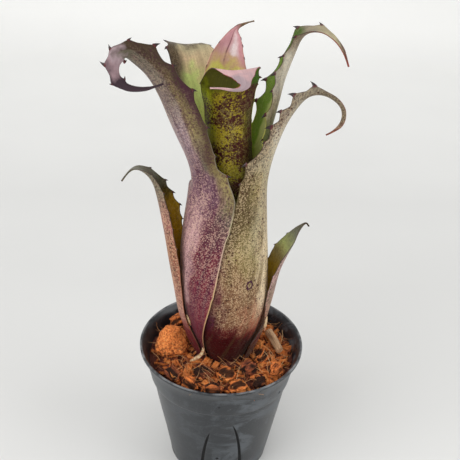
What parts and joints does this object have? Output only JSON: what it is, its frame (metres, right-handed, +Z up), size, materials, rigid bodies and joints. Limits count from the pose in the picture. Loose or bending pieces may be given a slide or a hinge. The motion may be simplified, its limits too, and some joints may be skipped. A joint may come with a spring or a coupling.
{
  "type": "hohenbergia",
  "caption": "Potted bromeliad with spiny channelled leaves rolled into an upright urn, in a tapered nursery pot filled with coconut husk chips.",
  "frame": {"origin": "centre of the flat underside of the pot", "axes": "+Z up along the pot's axis and the plant's height; -Y is the front, the side the large purple and khaki leaves face; +X is to the right seen from the front"},
  "size_m": [0.1186, 0.1, 0.2772],
  "materials": {
    "pot_plastic": "satin moulded plastic with a few water marks",
    "husk_mix": "rough, fibrous, slightly damp coconut husk",
    "husk_chip": "rough broken coconut husk",
    "stem_flesh": "matt stem tissue",
    "leaf_purple": "satin leaf with a pale speckled bloom",
    "leaf_khaki": "satin leaf with fine dark speckles",
    "leaf_grey_green": "satin grey-green leaf",
    "leaf_green": "satin green leaf with a grey-pink back",
    "leaf_mottled": "satin yellow-green leaf with maroon blotches",
    "leaf_pink": "smooth young leaf, pale pink over lime",
    "leaf_basal_pink": "satin leaf, pink-tan outside, olive inside",
    "leaf_basal_olive": "satin olive leaf with a pinkish back"
  },
  "bodies": {
    "root": {"husk_chip_01": "husk_chip", "husk_chip_02": "husk_chip", "husk_chip_03": "husk_chip", "husk_chip_04": "husk_chip", "husk_chip_05": "husk_chip", "husk_chip_06": "husk_chip", "husk_chip_07": "husk_chip", "husk_chip_08": "husk_chip", "husk_chip_09": "husk_chip", "husk_chip_10": "husk_chip", "husk_chip_11": "husk_chip", "husk_chip_12": "husk_chip", "husk_chip_13": "husk_chip", "husk_chip_14": "husk_chip", "husk_chip_15": "husk_chip", "husk_chip_16": "husk_chip", "husk_chip_17": "husk_chip", "husk_chip_18": "husk_chip", "husk_lump": "husk_chip", "husk_stick": "husk_chip", "leaf_back_left": "leaf_grey_green", "leaf_basal_left": "leaf_basal_pink", "leaf_basal_right": "leaf_basal_olive", "leaf_front_left": "leaf_purple", "leaf_front_right": "leaf_khaki", "leaf_heart": "leaf_pink", "leaf_inner_front": "leaf_mottled", "leaf_right": "leaf_green", "nursery_pot": "pot_plastic", "potting_mix": "husk_mix", "stem": "stem_flesh"}
  },
  "joints": []
}
